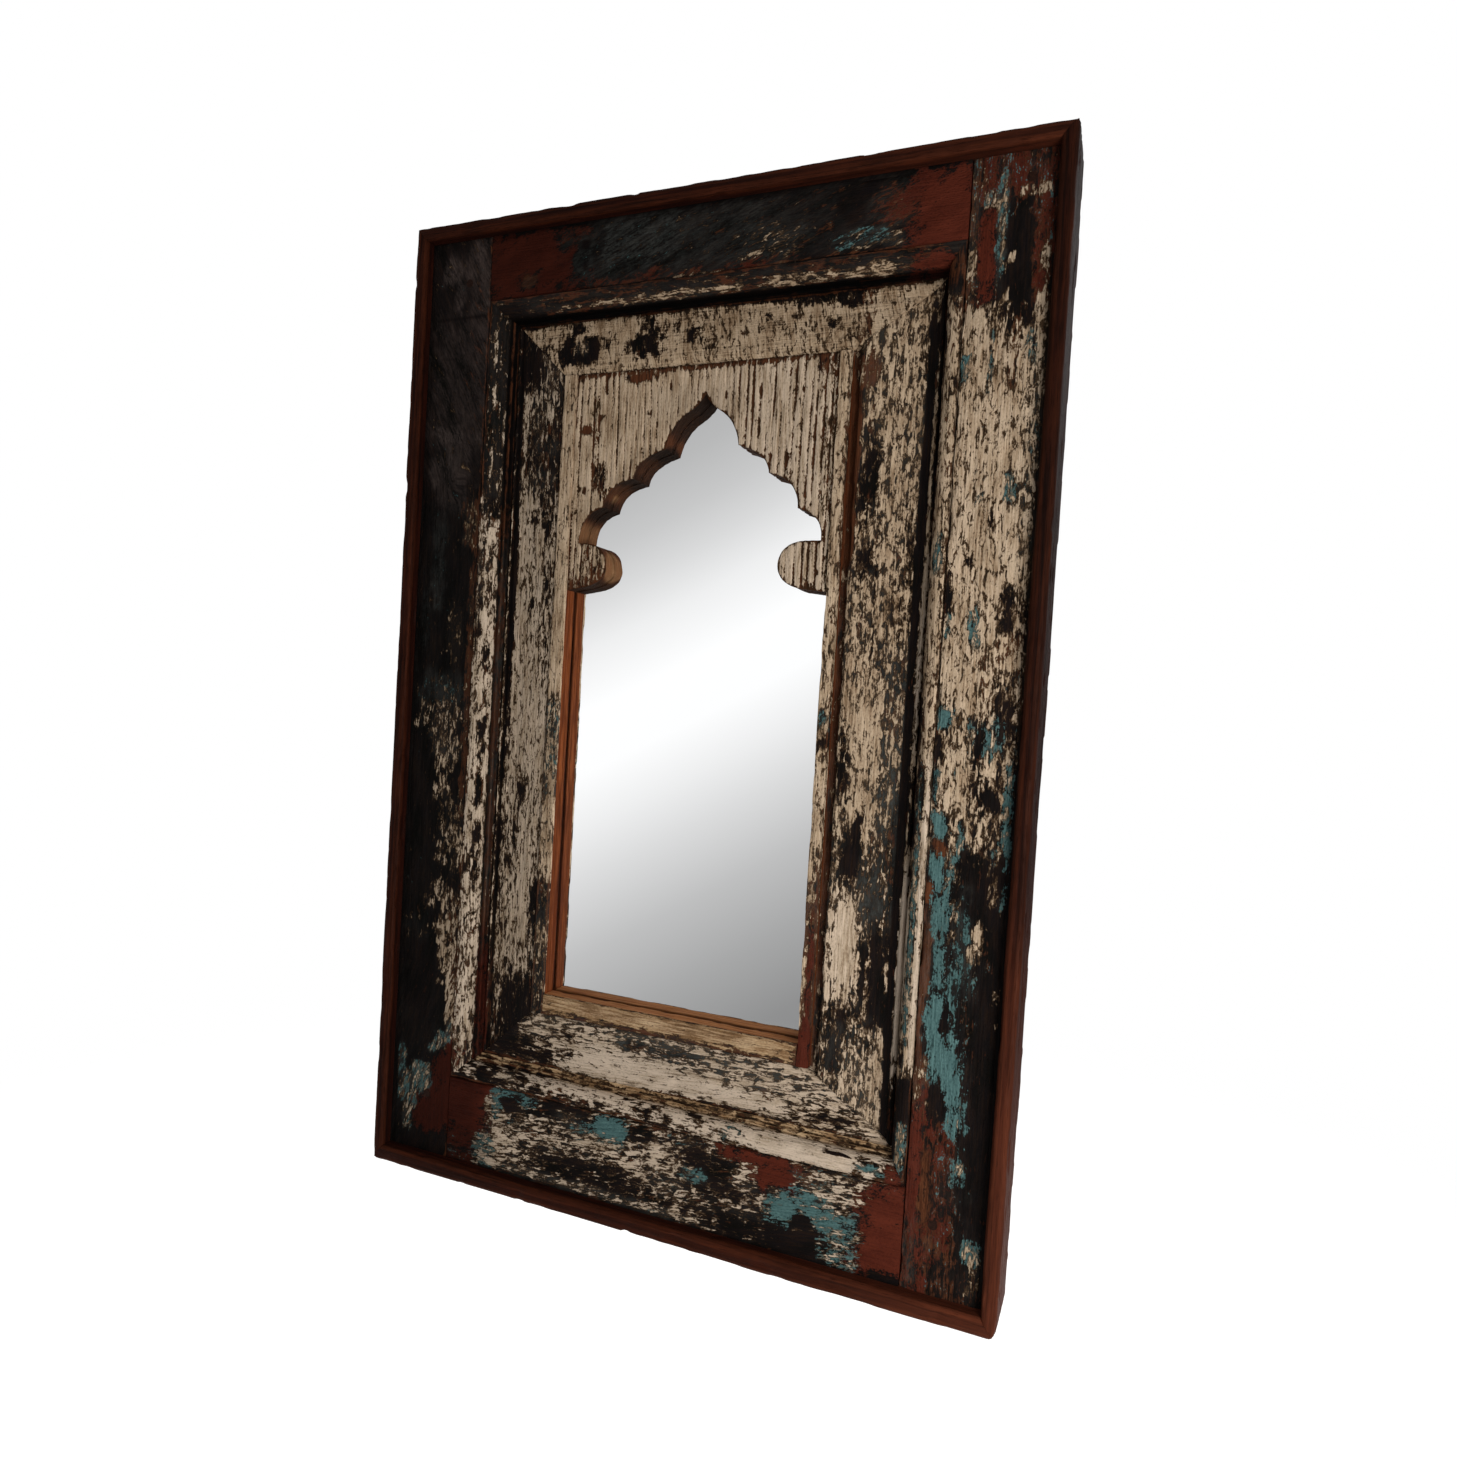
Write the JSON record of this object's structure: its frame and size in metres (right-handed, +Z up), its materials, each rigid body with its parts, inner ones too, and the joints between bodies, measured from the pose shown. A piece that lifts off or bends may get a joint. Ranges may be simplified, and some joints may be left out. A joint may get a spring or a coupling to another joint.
{
  "type": "wall mirror",
  "caption": "Portrait wall mirror: worn painted board frame, stepped mouldings and a cusped arch sawn over a recessed glass, with swinging hanging rings on its back.",
  "frame": {"origin": "middle of the bottom edge, on the wall plane that the rear edges of the lipping touch", "axes": "+Z up, -Y out of the front towards the viewer, +X to the viewer's right"},
  "size_m": [0.45, 0.0445, 0.675],
  "materials": {
    "painted_board": "layered old paint, worn to wood, matt",
    "painted_moulding": "layered old paint, worn, matt",
    "painted_arch": "cream paint worn off an open grain, matt",
    "lipping": "dark stained, waxed",
    "rear_wood": "sawn, unfinished",
    "mirror_glass": "clear float glass silvered on the back",
    "hardboard": "pressed board, smooth side out",
    "peg_wood": "end grain, worn",
    "nail_iron": "oxidised",
    "screw_steel": "zinc plated",
    "hanger_brass": "dull brass plate"
  },
  "bodies": {
    "frame": {"stile_left": "painted_board", "stile_right": "painted_board", "rail_top": "painted_board", "rail_bottom": "painted_board", "edge_strip_left": "lipping", "edge_strip_right": "lipping", "edge_strip_top": "lipping", "edge_strip_bottom": "lipping", "bead_left": "painted_moulding", "bead_right": "painted_moulding", "bead_top": "painted_moulding", "bead_bottom": "painted_moulding", "inner_left": "painted_moulding", "inner_right": "painted_moulding", "inner_top": "painted_moulding", "inner_bottom": "painted_moulding", "slip_left": "painted_moulding", "slip_right": "painted_moulding", "slip_bottom": "painted_moulding", "arch_panel": "painted_arch", "rear_stile_left": "rear_wood", "rear_stile_right": "rear_wood", "rear_rail_top": "rear_wood", "rear_rail_bottom": "rear_wood", "mirror_glass": "mirror_glass", "glass_packing": "hardboard", "backing_board": "hardboard", "frame_pegs": "peg_wood", "strip_nails": "nail_iron", "rear_screws": "screw_steel", "backing_pins": "nail_iron", "hanger_plate_left": "hanger_brass", "hanger_plate_right": "hanger_brass", "hanger_screws": "screw_steel"},
    "ring_left": {"hanger_ring_left": "hanger_brass"},
    "ring_right": {"hanger_ring_right": "hanger_brass"}
  },
  "joints": [
    {"name": "ring_left_swing", "type": "hinge", "parent": "frame", "child": "ring_left", "pos_m": [-0.172, -0.0027, 0.52], "axis": [1, 0, 0], "range_deg": [0, 180]},
    {"name": "ring_right_swing", "type": "hinge", "parent": "frame", "child": "ring_right", "pos_m": [0.172, -0.0027, 0.52], "axis": [1, 0, 0], "range_deg": [0, 180]}
  ]
}
